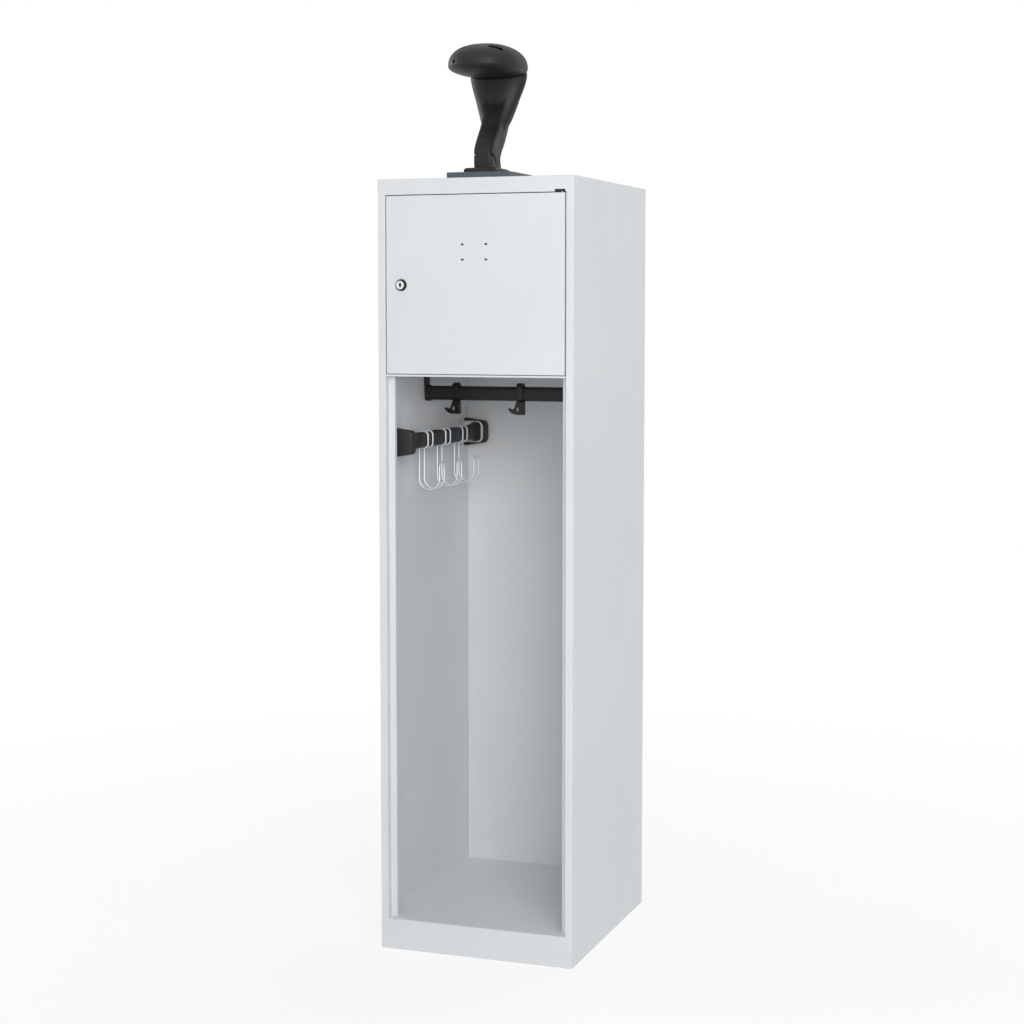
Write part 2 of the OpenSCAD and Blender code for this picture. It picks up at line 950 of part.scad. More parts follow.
module rail_hook(x) {
  clip_r = rail_d / 2 + slide_gap + clip_wall;
  clip_low = -rail_h / 2 - slide_gap - clip_wall;
  clip_high = rail_h / 2 + clip_top;
  plate_front = rail_y - clip_r;
  translate([x, 0, rail_z]) {
    along_x(-hook_clip_w / 2, hook_clip_w / 2)
      translate([rail_y, 0])
        difference() {
          translate([0, (clip_low + clip_high) / 2])
            round_rect(2 * clip_r, clip_high - clip_low, clip_r - slide_gap);
          rail_outline(slide_gap);
        }
    along_y(plate_front, plate_front + hook_plate_t)
      translate([0, -rail_h / 2 - slide_gap - clip_wall / 2])
        difference() {
          offset(r = hook_round)
            offset(delta = -hook_round)
              polygon([for (p = hook_outline_shares) [
                p.x * hook_reach, p.y * (hook_drop - slide_gap - clip_wall / 2)
              ]]);
          translate([hook_hole_x, hook_hole_z]) {
            circle(d = hook_hole_d);
            polygon([[-hook_hole_d / 2, 0], [hook_hole_d / 2, 0], [hook_hole_d / 4, hook_hole_h - hook_hole_d / 2]]);
          }
        }
  }
}

module rail_hook_1() {
  color(black_plastic)
    rail_hook(hook_1_x);
}

module rail_hook_2() {
  color(black_plastic)
    rail_hook(hook_2_x);
}

// Equipment arm

// An end cap's outline as (X, Z): straight against the wall plate, round at the free side
module cap_outline(set_in, sides = 48) {
  right = cap_wall_x + cap_w - set_in;
  r = cap_r - set_in;
  high = cap_h / 2 - set_in;
  left = cap_wall_x;
  translate([left, arm_z - high])
    square([right - r - left, 2 * high]);
  translate([right - r, arm_z - high + r])
    square([r, 2 * high - 2 * r]);
  for (z = [-1, 1])
    translate([right - r, arm_z + z * (high - r)])
      circle(r = r, $fn = sides);
}

module end_plate_outline() {
  set_in = cap_wall + slide_gap;
  intersection() {
    cap_outline(set_in);
    translate([cap_wall_x, arm_z - end_plate_h / 2])
      square([cap_w, end_plate_h]);
  }
}

module arm_wall_screw_places() {
  for (y = [arm_front_y + wall_screw_inset, arm_back_y - wall_screw_inset], z = [-1, 1])
    translate([cap_wall_x, y, arm_z + z * wall_screw_rise])
      children();
}

module arm_bracket() {
  color(paint)
    difference() {
      union() {
        box([wall_x, arm_front_y, arm_z - wall_plate_h / 2], [cap_wall_x, arm_back_y, arm_z + wall_plate_h / 2]);
        for (y = [arm_start_y - end_plate_t, arm_end_y])
          along_y(y, y + end_plate_t)
            end_plate_outline();
      }
      arm_wall_screw_places()
        rotate([0, -90, 0])
          cylinder(d = wall_screw_d + 2 * shank_gap, h = 2 * wall_plate_t + over, center = true);
      for (y = [arm_start_y - end_plate_t / 2, arm_end_y + end_plate_t / 2])
        translate([arm_x, y, arm_z])
          rotate([90, 0, 0])
            cylinder(d = arm_screw_d + 2 * shank_gap, h = 2 * end_plate_t, center = true);
    }
}

// An end cap drawn for the front end, its closed face towards the viewer
module arm_cap() {
  open_y = arm_front_y + cap_d;
  difference() {
    union() {
      along_y(arm_front_y + cap_round, open_y)
        cap_outline(0);
      hull()
        for (a = [0 : cap_slice_angle : 90]) {
          slice_y = arm_front_y + cap_round * (1 - sin(a));
          along_y(slice_y, slice_y + thin)
            cap_outline(cap_round * (1 - cos(a)), 32);
        }
    }
    along_y(arm_front_y + cap_end_t + cap_round, open_y + over)
      cap_outline(cap_wall);
  }
}

module arm_cap_front() {
  color(black_plastic)
    arm_cap();
}

module arm_cap_rear() {
  color(black_plastic)
    translate([0, arm_front_y + arm_back_y, 0])
      mirror([0, 1, 0])
        arm_cap();
}

// A slice of the arm, its outline drawn smaller or larger than the arm
module arm_slice(from, to, w, h) {
  along_y(from, to)
    translate([arm_x, arm_z])
      round_rect(w, h, arm_r - (arm_w - w) / 2);
}

// A raised collar of the arm, with sloping ends
module arm_collar(from, to) {
  w = arm_w - 2 * groove_depth;
  h = arm_h - 2 * groove_depth;
  hull() {
    arm_slice(from, from + thin, w, h, $fn = 32);
    arm_slice(from + collar_end, to - collar_end, arm_w, arm_h, $fn = 32);
    arm_slice(to - thin, to, w, h, $fn = 32);
  }
}

module arm_end(from, to, wide_from, wide_to) {
  w = arm_w - 2 * groove_depth;
  h = arm_h - 2 * groove_depth;
  hull() {
    arm_slice(from, to, w, h, $fn = 32);
    arm_slice(wide_from, wide_to, arm_end_w, arm_end_h, $fn = 32);
  }
}

module equipment_arm() {
  w = arm_w - 2 * groove_depth;
  h = arm_h - 2 * groove_depth;
  groove_half = groove_w / 2;
  first = hook_first_y;
  last = hook_first_y + 2 * hook_pitch;
  color(black_plastic)
    difference() {
      union() {
        arm_slice(arm_start_y, arm_end_y, w, h);
        arm_collar(first - groove_half - front_collar_l, first - groove_half);
        for (i = [0 : 1])
          arm_collar(first + i * hook_pitch + groove_half, first + (i + 1) * hook_pitch - groove_half);
        arm_collar(last + groove_half, arm_end_y - arm_flare + collar_end);
        arm_end(arm_start_y + arm_flare - thin, arm_start_y + arm_flare, arm_start_y, arm_start_y + thin);
        arm_end(arm_end_y - arm_flare, arm_end_y - arm_flare + thin, arm_end_y - thin, arm_end_y);
      }
      for (y = [arm_start_y, arm_end_y])
        translate([arm_x, y, arm_z])
          rotate([90, 0, 0])
            cylinder(d = arm_screw_d + 2 * shank_gap, h = 2 * (arm_screw_l - end_plate_t) + over, center = true);
    }
}

// A screw with its head at the origin, its shank along +Z
module screw(d, length, head_d, head_h) {
  translate([0, 0, -head_h])
    cylinder(d = head_d, h = head_h);
  cylinder(d = d, h = length);
}

module arm_end_screws() {
  color(zinc) {
    translate([arm_x, arm_start_y - end_plate_t, arm_z])
      rotate([-90, 0, 0])
        screw(arm_screw_d, arm_screw_l, arm_screw_head_d, arm_screw_head_h);
    translate([arm_x, arm_end_y + end_plate_t, arm_z])
      rotate([90, 0, 0])
        screw(arm_screw_d, arm_screw_l, arm_screw_head_d, arm_screw_head_h);
  }
}

module arm_wall_screws() {
  color(zinc)
    arm_wall_screw_places()
      rotate([0, -90, 0])
        screw(wall_screw_d, wall_plate_t + sheet_t, wall_screw_head_d, wall_screw_head_h);
}

// Wire hooks

// Lays wire along +X and on through its bends: each step is [straight length, bend angle, bend radius]
module wire_run(steps, i = 0) {
  if (i < len(steps)) {
    straight = steps[i][0];
    angle = steps[i][1];
    r = steps[i][2];
    side = sign(angle);
    rotate([0, 90, 0])
      cylinder(d = wire_d, h = straight);
    if (angle != 0)
      translate([straight, 0, 0]) {
        mirror([0, 0, angle > 0 ? 0 : 1])
          translate([0, 0, r])
            rotate([90, 0, 0])
              rotate([0, 0, -90])
                rotate_extrude(angle = abs(angle))
                  translate([r, 0])
                    circle(d = wire_d, $fn = 24);
        translate([r * sin(abs(angle)), 0, side * r * (1 - cos(angle))])
          rotate([0, -angle, 0])
            wire_run(steps, i + 1);
      }
  }
}

module wire_hook(y) {
  reach = wire_gap + wire_d / 2;
  corner = arm_r - groove_depth;
  r = corner + reach;
  w = arm_w - 2 * groove_depth;
  h = arm_h - 2 * groove_depth;
  back_x = arm_x - w / 2 - reach;
  front_x = arm_x + w / 2 + reach;
  low_z = arm_z - h / 2 - reach;
  leg_x = arm_x - wire_leg_set_in;
  bend_half = wire_bend_w / 2;
  bend_z = arm_z - wire_drop + bend_half;
  tip_r = wire_spacing / 2;
  tip_z = arm_z - wire_tip_drop - tip_r;
  steps = [
    [wire_end_l, -90, r],
    [w - 2 * corner, -90, r],
    [h - 2 * corner, -90, r],
    [front_x - r - leg_x - wire_leg_r, 90, wire_leg_r],
    [low_z - wire_leg_r - bend_z, 180, bend_half],
    [tip_z - bend_z, 0, 0]
  ];
  for (side = [-1, 1])
    translate([back_x, y + side * wire_spacing / 2, arm_z + h / 2 - corner - wire_end_l])
      rotate([0, -90, 0])
        wire_run(steps);
  translate([leg_x + wire_bend_w, y, tip_z])
    rotate([90, 0, 90])
      rotate_extrude(angle = 180)
        translate([tip_r, 0])
          circle(d = wire_d, $fn = 24);
}

module wire_hook_1() {
  color(zinc)
    wire_hook(hook_first_y);
}

module wire_hook_2() {
  color(zinc)
    wire_hook(hook_first_y + hook_pitch);
}

module wire_hook_3() {
  color(zinc)
    wire_hook(hook_first_y + 2 * hook_pitch);
}

// Helmet holder

module bolt_places() {
  for (x = [-1, 1], y = [-1, 1])
    translate([x * bolt_x, bolt_y + y * bolt_spread_y / 2, foot_top_z])
      children();
}

// A folded steel tray, open below
module helmet_base_plate() {
  color(steel_grey)
    difference() {
      translate([0, base_front_y + base_d / 2, cabinet_h])
        linear_extrude(base_h)
          round_rect(base_w, base_d, bend_r);
      translate([0, base_front_y + base_d / 2, cabinet_h - over])
        linear_extrude(base_h - base_t + over)
          square([base_w - 2 * base_t, base_d - 2 * base_t], center = true);
      bolt_places()
        cylinder(d = bolt_d + 2 * shank_gap, h = 2 * (foot_h + base_h), center = true);
    }
}

// What the foot fills of the stalk's front: the tongue and the knuckle, made larger by a gap
module tongue_space(tongue_grow, knuckle_grow) {
  half = tongue_w / 2 + tongue_grow;
  top_z = foot_top_z + stalk_h * tongue_top_share;
  box([-half, front_y, foot_top_z - over], [half, stalk_front_y + tongue_depth + tongue_grow, top_z]);
  along_x(-foot_w / 2, foot_w / 2)
    translate([stalk_front_y, foot_top_z])
      circle(r = knuckle_r + knuckle_grow);
}

module helmet_foot() {
  middle = foot_front_y + foot_d / 2;
  rim_h = foot_h - foot_bevel;
  color(black_plastic)
    difference() {
      union() {
        intersection() {
          stalk_leg();
          tongue_space(0, 0);
        }
        translate([0, middle, base_top_z])
          linear_extrude(rim_h)
            round_rect(foot_w, foot_d, foot_bevel);
        hull() {
          translate([0, middle, base_top_z + rim_h - thin])
            linear_extrude(thin)
              round_rect(foot_w, foot_d, foot_bevel, $fn = 32);
          translate([0, middle, foot_top_z - thin])
            linear_extrude(thin)
              round_rect(foot_w - 2 * foot_bevel, foot_d - 2 * foot_bevel, foot_bevel, $fn = 32);
        }
      }
      bolt_places() {
        cylinder(d = bolt_d + 2 * shank_gap, h = 2 * (foot_h + over), center = true);
        cylinder(d = bolt_head_d + 2 * slide_gap, h = 2 * bolt_sink, center = true);
      }
    }
}

// Point on a ring between an ellipse and a rectangle, at an angle
function ring_point(angle, rx, ry, squareness) = [
  rx * sign(cos(angle)) * pow(abs(cos(angle)), 2 / squareness),
  ry * sign(sin(angle)) * pow(abs(sin(angle)), 2 / squareness)
];

// A closed body through rings of equal counts of points
module loft(rings) {
  sides = len(rings[0]);
  last = len(rings) - 1;
  points = [for (ring = rings) each ring];
  walls = [
    for (i = [0 : last - 1], j = [0 : sides - 1])
      let (a = i * sides + j, b = i * sides + (j + 1) % sides)
        each [[a, a + sides, b], [b, a + sides, b + sides]]
  ];
  low = [for (j = [0 : sides - 1]) j];
  high = [for (j = [sides - 1 : -1 : 0]) last * sides + j];
  polyhedron(points, concat(walls, [low, high]));
}

// A body through rings given as shares of the stalk's height, depth and width
module stalk_loft(ring_shares, squareness) {
  loft([
    for (ring = ring_shares)
      [for (j = [0 : stalk_sides - 1])
        let (p = ring_point(360 * (j + 1 / 2) / stalk_sides, stalk_w * ring[3] / 2,
          stalk_d * (ring[2] - ring[1]) / 2, squareness))
          [p.x, stalk_front_y + stalk_d * (ring[1] + ring[2]) / 2 + p.y, foot_top_z + stalk_h * ring[0]]]
  ]);
}

// The leg: nearly a box, leaning back as it rises
module stalk_leg() {
  stalk_loft(leg_ring_shares, leg_squareness);
}

// The cone that grows out of the leg's sides and widens up to the dome
module stalk_cone() {
  stalk_loft(cone_ring_shares, cone_squareness);
}

// The recess in the cone's front as (X, Z): its upper edge sags in the middle
module recess_outline() {
  low = foot_top_z + stalk_h * recess_foot_share;
  high = foot_top_z + stalk_h * recess_top_share;
  half_chord = recess_w / 2;
  sag_r = (half_chord * half_chord + recess_sag * recess_sag) / (2 * recess_sag);
  difference() {
    translate([-half_chord, low])
      square([recess_w, high - low]);
    translate([0, high + sag_r - recess_sag])
      circle(r = sag_r);
  }
}

module helmet_stalk() {
  color(black_plastic)
    difference() {
      union() {
        stalk_leg();
        difference() {
          stalk_cone();
          along_y(front_y, stalk_front_y + stalk_d)
            recess_outline();
        }
      }
      tongue_space(tongue_gap, knuckle_gap);
      at_dome()
        dome_body(0);
    }
}

// Height and radius share of the dome's rings, by angle: low ones below its widest line
function dome_ring(angle, rx, ry, up, down) = [
  for (j = [0 : dome_sides - 1])
    let (
      share = pow(cos(angle), 2 / dome_squareness),
      p = ring_point(360 * j / dome_sides, rx * share, ry * share, dome_squareness),
      rise = sign(angle) * pow(abs(sin(angle)), 2 / dome_squareness)
    )
      [p.x, p.y, rise * (angle > 0 ? up : down)]
];

module dome_body(set_in) {
  low = [for (i = [0 : dome_low_steps - 1]) dome_low_angle * (1 - i / dome_low_steps)];
  high = [for (i = [0 : dome_steps - 1]) dome_high_angle * i / (dome_steps - 1)];
  loft([
    for (angle = concat(low, high))
      dome_ring(angle, dome_rx - set_in, dome_ry - set_in, dome_up - set_in, dome_down - set_in)
  ]);
}

module at_dome() {
  translate([0, dome_y, foot_top_z + stalk_h + dome_rise])
    children();
}

module helmet_dome() {
  color(black_plastic)
    at_dome()
      difference() {
        dome_body(0);
        dome_body(dome_wall);
        for (side = [-1, 1])
          translate([side * vent_x, -vent_setback, 0])
            rotate(side * vent_turn)
              linear_extrude(dome_up + over)
                stadium(vent_l, vent_w);
        along_y(-dome_ry - over, 0)
          translate([-strap_slot_x, strap_slot_rise])
            stadium(strap_slot_w, strap_slot_h);
      }
}

module helmet_bolts() {
  color(zinc)
    bolt_places()
      translate([0, 0, -bolt_sink])
        mirror([0, 0, 1])
          screw(bolt_d, foot_h + base_h + bolt_tail - bolt_sink, bolt_head_d, bolt_head_h);
}

module helmet_nuts() {
  color(zinc)
    bolt_places()
      translate([0, 0, wall_top_z - nut_h - foot_top_z])
        difference() {
          cylinder(r = nut_w / sqrt(3), h = nut_h, $fn = 6);
          translate([0, 0, -over])
            cylinder(d = bolt_d + 2 * shank_gap, h = nut_h + 2 * over);
        }
}

side_panel_left();
side_panel_right();
back_panel();
roof_panel();
floor_panel();
plinth();
compartment_shelf();
hinge_block_top();
hinge_bush_bottom();
door_buffers();
door_panel();
door_stiffener();
hinge_pin_top();
hinge_pin_bottom();
lock_housing();
lock_nut();
lock_core();
lock_cam();
cam_screw();
rail_bracket_left();
rail_bracket_right();
clothes_rail();
rail_screws();
rail_hook_1();
rail_hook_2();
arm_bracket();
arm_cap_front();
arm_cap_rear();
equipment_arm();
arm_end_screws();
arm_wall_screws();
wire_hook_1();
wire_hook_2();
wire_hook_3();
helmet_base_plate();
helmet_foot();
helmet_stalk();
helmet_dome();
helmet_bolts();
helmet_nuts();
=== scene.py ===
"""Looks of a steel turnout locker. The scene is in metres: X right, Y back, Z up. The origin is on the
floor, in the middle of the whole piece as seen from above, helmet holder included."""
import json
import math

import bmesh
import bpy
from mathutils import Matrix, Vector


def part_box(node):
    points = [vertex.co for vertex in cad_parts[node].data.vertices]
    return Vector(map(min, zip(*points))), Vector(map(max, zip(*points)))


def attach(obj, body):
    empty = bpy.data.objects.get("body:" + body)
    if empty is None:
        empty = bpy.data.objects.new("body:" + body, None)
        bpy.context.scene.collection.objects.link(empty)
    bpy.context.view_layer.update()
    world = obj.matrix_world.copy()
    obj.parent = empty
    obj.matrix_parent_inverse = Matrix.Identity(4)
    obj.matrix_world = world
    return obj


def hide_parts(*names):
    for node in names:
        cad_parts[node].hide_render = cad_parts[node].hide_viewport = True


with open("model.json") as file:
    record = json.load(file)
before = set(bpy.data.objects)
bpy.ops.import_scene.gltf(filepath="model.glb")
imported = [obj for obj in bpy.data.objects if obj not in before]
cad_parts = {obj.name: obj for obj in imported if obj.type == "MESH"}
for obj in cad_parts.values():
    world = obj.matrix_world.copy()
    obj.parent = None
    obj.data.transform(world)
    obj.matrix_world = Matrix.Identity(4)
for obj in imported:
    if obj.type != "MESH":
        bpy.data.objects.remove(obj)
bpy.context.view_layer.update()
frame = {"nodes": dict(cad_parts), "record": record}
NODES = frame["nodes"]
MM = 0.001
# How far a cut runs past the face that it opens
OVERRUN_MM = 1
OVERRUN = OVERRUN_MM * MM


def put(name, data):
    """A new object in the scene."""
    made = bpy.data.objects.new(name, data)
    bpy.context.scene.collection.objects.link(made)
    return made


# Camera, solved from the cabinet's straight edges, with its frame moved down by a fiftieth
CAMERA_EYE = Vector((1.7424, -4.8183, 1.5765))
CAMERA_YAW = math.radians(19.985)
CAMERA_TILT = math.radians(5.021)
CAMERA_LENS = 71.095
CAMERA_SHIFT_UP = -0.02
CAMERA_REACH = 60


def place_camera():
    data = bpy.data.cameras.new("camera")
    data.lens = CAMERA_LENS
    data.shift_y = CAMERA_SHIFT_UP
    data.clip_end = CAMERA_REACH
    camera = put("camera", data)
    camera.location = CAMERA_EYE
    camera.rotation_euler = (math.pi / 2 - CAMERA_TILT, 0, CAMERA_YAW)
    bpy.context.scene.camera = camera


# Nodes and colours

def linear(hex_colour):
    """An sRGB hex colour as linear red, green, blue and alpha."""
    parts = [int(hex_colour[i:i + 2], 16) / 255 for i in (1, 3, 5)]
    return [c / 12.92 if c <= 0.04045 else ((c + 0.055) / 1.055) ** 2.4 for c in parts] + [1.0]


def grey(value):
    return [value, value, value, 1.0]


def per_mm(size):
    """Noise scale at which one feature is this many millimetres across."""
    return 1 / (size * MM)


def add(tree, kind, inputs=None, stops=None, **settings):
    """Adds a node. Settings are its own properties, inputs fill its sockets by value or by link, and
    stops are the two positions and linear colours of a colour ramp."""
    made = tree.nodes.new(kind)
    for name, value in settings.items():
        setattr(made, name, value)
    for name, value in (inputs or {}).items():
        if isinstance(value, bpy.types.NodeSocket):
            tree.links.new(value, made.inputs[name])
        else:
            made.inputs[name].default_value = value
    for i, (position, colour) in enumerate(stops or []):
        made.color_ramp.elements[i].position = position
        made.color_ramp.elements[i].color = colour
    return made


def new_material(name):
    """An empty material with its tree and a coordinate in the part's own metres."""
    material = bpy.data.materials.new(name)
    material.use_nodes = True
    tree = material.node_tree
    tree.nodes.clear()
    place = add(tree, "ShaderNodeTexCoord").outputs["Object"]
    return material, tree, place


# Materials

def powder_coat(name, hex_colour, hex_shade, peel_mm=2.6, roughness=0.42, bump=0.06):
    """Polyester powder coat, sprayed and baked on steel: an even colour with a soft orange peel that
    breaks up the gloss. The real peel is about 1 mm and is drawn coarser so that it shows."""
    material, tree, place = new_material(name)
    cloud = add(tree, "ShaderNodeTexNoise", {"Vector": place, "Scale": per_mm(260), "Detail": 3.0})
    peel = add(tree, "ShaderNodeTexNoise", {"Vector": place, "Scale": per_mm(peel_mm), "Detail": 2.0})
    colour = add(tree, "ShaderNodeValToRGB", {"Fac": cloud.outputs[0]},
                 [(0.35, linear(hex_shade)), (0.65, linear(hex_colour))])
    gloss = add(tree, "ShaderNodeValToRGB", {"Fac": peel.outputs[0]},
                [(0.3, grey(roughness - 0.05)), (0.7, grey(roughness + 0.06))])
    relief = add(tree, "ShaderNodeBump",
                 {"Height": peel.outputs[0], "Strength": bump, "Distance": 0.4 * MM})
    shader = add(tree, "ShaderNodeBsdfPrincipled",
                 {"Base Color": colour.outputs[0], "Roughness": gloss.outputs[0],
                  "Normal": relief.outputs[0], "IOR": 1.5})
    add(tree, "ShaderNodeOutputMaterial", {"Surface": shader.outputs[0]})
    return material


def moulded_plastic(name, hex_colour, hex_light, grain_mm=0.9, roughness=0.5, bump=0.25, shine=0.3):
    """Black plastic moulded in a spark eroded tool: a fine even grain that takes most of the shine
    away, a little lighter where it has been handled."""
    material, tree, place = new_material(name)
    grain = add(tree, "ShaderNodeTexNoise", {"Vector": place, "Scale": per_mm(grain_mm), "Detail": 3.0})
    flow = add(tree, "ShaderNodeTexNoise", {"Vector": place, "Scale": per_mm(45), "Detail": 4.0})
    colour = add(tree, "ShaderNodeValToRGB", {"Fac": flow.outputs[0]},
                 [(0.3, linear(hex_colour)), (0.75, linear(hex_light))])
    gloss = add(tree, "ShaderNodeValToRGB", {"Fac": flow.outputs[0]},
                [(0.3, grey(roughness - 0.06)), (0.7, grey(roughness + 0.08))])
    relief = add(tree, "ShaderNodeBump",
                 {"Height": grain.outputs[0], "Strength": bump, "Distance": 0.12 * MM})
    shader = add(tree, "ShaderNodeBsdfPrincipled",
                 {"Base Color": colour.outputs[0], "Roughness": gloss.outputs[0],
                  "Normal": relief.outputs[0], "IOR": 1.53, "Specular IOR Level": shine})
    add(tree, "ShaderNodeOutputMaterial", {"Surface": shader.outputs[0]})
    return material


def plated_steel(name, hex_colour, hex_shade, roughness=0.28, streak_mm=0.8):
    """Steel with a zinc or nickel plate: bright metal with faint drawing marks and a slightly cloudy
    film."""
    material, tree, place = new_material(name)
    cloud = add(tree, "ShaderNodeTexNoise", {"Vector": place, "Scale": per_mm(14), "Detail": 4.0})
    streaks = add(tree, "ShaderNodeTexNoise",
                  {"Vector": place, "Scale": per_mm(streak_mm), "Detail": 2.0})
    colour = add(tree, "ShaderNodeValToRGB", {"Fac": cloud.outputs[0]},
                 [(0.3, linear(hex_shade)), (0.7, linear(hex_colour))])
    gloss = add(tree, "ShaderNodeValToRGB", {"Fac": streaks.outputs[0]},
                [(0.3, grey(roughness - 0.06)), (0.7, grey(roughness + 0.1))])
    relief = add(tree, "ShaderNodeBump",
                 {"Height": streaks.outputs[0], "Strength": 0.1, "Distance": 0.05 * MM})
    shader = add(tree, "ShaderNodeBsdfPrincipled",
                 {"Base Color": colour.outputs[0], "Roughness": gloss.outputs[0],
                  "Normal": relief.outputs[0], "Metallic": 1.0})
    add(tree, "ShaderNodeOutputMaterial", {"Surface": shader.outputs[0]})
    return material


def moulded_rubber(name):
    """Black nitrile rubber, compression moulded: dull, with a dusty bloom."""
    material, tree, place = new_material(name)
    bloom = add(tree, "ShaderNodeTexNoise", {"Vector": place, "Scale": per_mm(6), "Detail": 5.0})
    colour = add(tree, "ShaderNodeValToRGB", {"Fac": bloom.outputs[0]},
                 [(0.3, linear("#242424")), (0.8, linear("#3b3b3a"))])
    shader = add(tree, "ShaderNodeBsdfPrincipled",
                 {"Base Color": colour.outputs[0], "Roughness": 0.75, "IOR": 1.52})
    add(tree, "ShaderNodeOutputMaterial", {"Surface": shader.outputs[0]})
    return material


def make_materials():
    """One finish for each material slot of the record."""
    return {
        "cabinet_paint": powder_coat("cabinet_powder_coat", "#e2e3e4", "#dfe0e2"),
        "door_paint": powder_coat("door_powder_coat", "#e2e3e4", "#dfe0e1"),
        "base_paint": powder_coat("base_powder_coat", "#4f575d", "#4a5258", roughness=0.5),
        "moulded_black": moulded_plastic("moulded_polyamide", "#252526", "#2f2f30"),
        # Steel tube in a smooth plastic coat
        "rail_black": moulded_plastic("coated_tube", "#181919", "#202121", roughness=0.42, bump=0.1),
        # Acetal from a polished tool, the glossiest of the blacks
        "hook_black": moulded_plastic("gloss_acetal", "#0c0d0d", "#121313", roughness=0.3, bump=0.08,
                                      shine=0.35),
        "holder_black": moulded_plastic("holder_polyamide", "#131414", "#191a1a"),
        "lock_black": moulded_plastic("lock_collar", "#171718", "#202021", roughness=0.35, bump=0.1),
        "lock_steel": plated_steel("nickel_plate", "#f2f2f1", "#e6e7e7", roughness=0.3),
        "zinc_steel": plated_steel("zinc_plate", "#c6c9cb", "#b4b8ba", roughness=0.34),
        # Plated and then tumbled, so it is pale and hardly mirrors
        "wire_steel": plated_steel("satin_zinc_wire", "#f4f7f9", "#ecf0f2", roughness=0.55),
        "buffer_rubber": moulded_rubber("buffer_rubber"),
    }


# Pieces

SLOTS = {part["node"]: part["material_slot"] for part in frame["record"]["subparts"]}
BODIES = {node: body for body, nodes in frame["record"]["behaviour"]["bodies"].items()
          for node in nodes}


def dress_nodes():
    """Gives every CAD node the finish of its record slot."""
    for node, slot in SLOTS.items():
        mesh = NODES[node].data
        mesh.materials.clear()
        mesh.materials.append(materials[slot])


def with_modifier(mesh, kind, **settings):
    """The mesh after one modifier, as a new mesh."""
    holder = put("holder", mesh)
    modifier = holder.modifiers.new("work", kind)
    for name, value in settings.items():
        setattr(modifier, name, value)
    done = bpy.data.meshes.new_from_object(holder.evaluated_get(bpy.context.evaluated_depsgraph_get()))
    bpy.data.objects.remove(holder)
    return done


def combined(mesh, tool, operation):
    """The mesh with another solid cut away, joined or kept in common."""
    cutter = put("cutter", tool)
    done = with_modifier(mesh, "BOOLEAN", object=cutter, operation=operation, solver="EXACT")
    bpy.data.objects.remove(cutter)
    return done


def solid_of(node):
    """A copy of a node's solid, with the triangles of each flat face joined."""
    work = bmesh.new()
    work.from_mesh(NODES[node].data)
    bmesh.ops.remove_doubles(work, verts=work.verts, dist=0.002 * MM)
    bmesh.ops.dissolve_limit(work, angle_limit=math.radians(0.3), verts=work.verts, edges=work.edges)
    mesh = bpy.data.meshes.new(node)
    work.to_mesh(mesh)
    work.free()
    return mesh


def smooth_shaded(mesh, sharp_degrees=32):
    mesh.shade_smooth()
    mesh.set_sharp_from_angle(angle=math.radians(sharp_degrees))
    return with_modifier(mesh, "WEIGHTED_NORMAL", keep_sharp=True)


def broken_edges(mesh, width_mm, steps=2):
    """Sharp edges rounded over, as deburring, drawing or a mould leaves them."""
    return with_modifier(mesh, "BEVEL", width=width_mm * MM, segments=steps, limit_method="ANGLE",
                         angle_limit=math.radians(35))


def moulded(mesh, skin_mm, passes=4):
    """Every edge and corner run soft, as on an injection moulding."""
    mesh = with_modifier(mesh, "REMESH", mode="VOXEL", voxel_size=skin_mm * MM)
    mesh = with_modifier(mesh, "SMOOTH", factor=0.5, iterations=passes)
    mesh.shade_smooth()
    return mesh


def dressed(name, mesh, slot):
    """A new object in the finish of a slot."""
    mesh.materials.clear()
    mesh.materials.append(materials[slot])
    return put(name, mesh)


def fit(name, mesh, node):
    """Puts a finished piece in the place of a node, on its body and with its finish."""
    piece = dressed(name, mesh, SLOTS[node])
    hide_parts(node)
    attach(piece, BODIES[node])


def add_piece(name, mesh, body, slot):
    """Puts a small piece that no node stands for on its body."""
    piece = dressed(name, mesh, slot)
    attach(piece, body)


# Forms

def loft(rings):
    """A closed solid through rings with equal counts of points."""
    sides = len(rings[0])
    points = [point for ring in rings for point in ring]
    faces = []
    for low in range(0, (len(rings) - 1) * sides, sides):
        high = low + sides
        for j in range(sides):
            k = (j + 1) % sides
            faces.append((low + j, low + k, high + k, high + j))
    faces.append(tuple(reversed(range(sides))))
    faces.append(tuple((len(rings) - 1) * sides + j for j in range(sides)))
    mesh = bpy.data.meshes.new("loft")
    mesh.from_pydata(points, [], faces)
    work = bmesh.new()
    work.from_mesh(mesh)
    bmesh.ops.recalc_face_normals(work, faces=work.faces)
    work.to_mesh(mesh)
    work.free()
    return mesh


def prism_along_y(outline, front, back):
    """A solid with an (x, z) outline between two depths."""
    return loft([[(x, y, z) for x, z in outline] for y in (front, back)])


def power(value, exponent):
    return math.copysign(abs(value) ** exponent, value)


def ring(half_w, half_d, squareness, sides=144):
    """Points between an ellipse and a rectangle."""
    turns = [2 * math.pi * (j + 0.5) / sides for j in range(sides)]
    return [(half_w * power(math.cos(a), 2 / squareness), half_d * power(math.sin(a), 2 / squareness))
            for a in turns]


def long_hole(length, width, sides=48):
    """A hole with round ends, as points about its middle, in millimetres."""
    points = []
    for k in range(sides):
        turn = 2 * math.pi * (k + 0.5) / sides
        points.append((math.copysign((length - width) / 2, math.cos(turn)) + width / 2 * math.cos(turn),
                       width / 2 * math.sin(turn)))
    return points


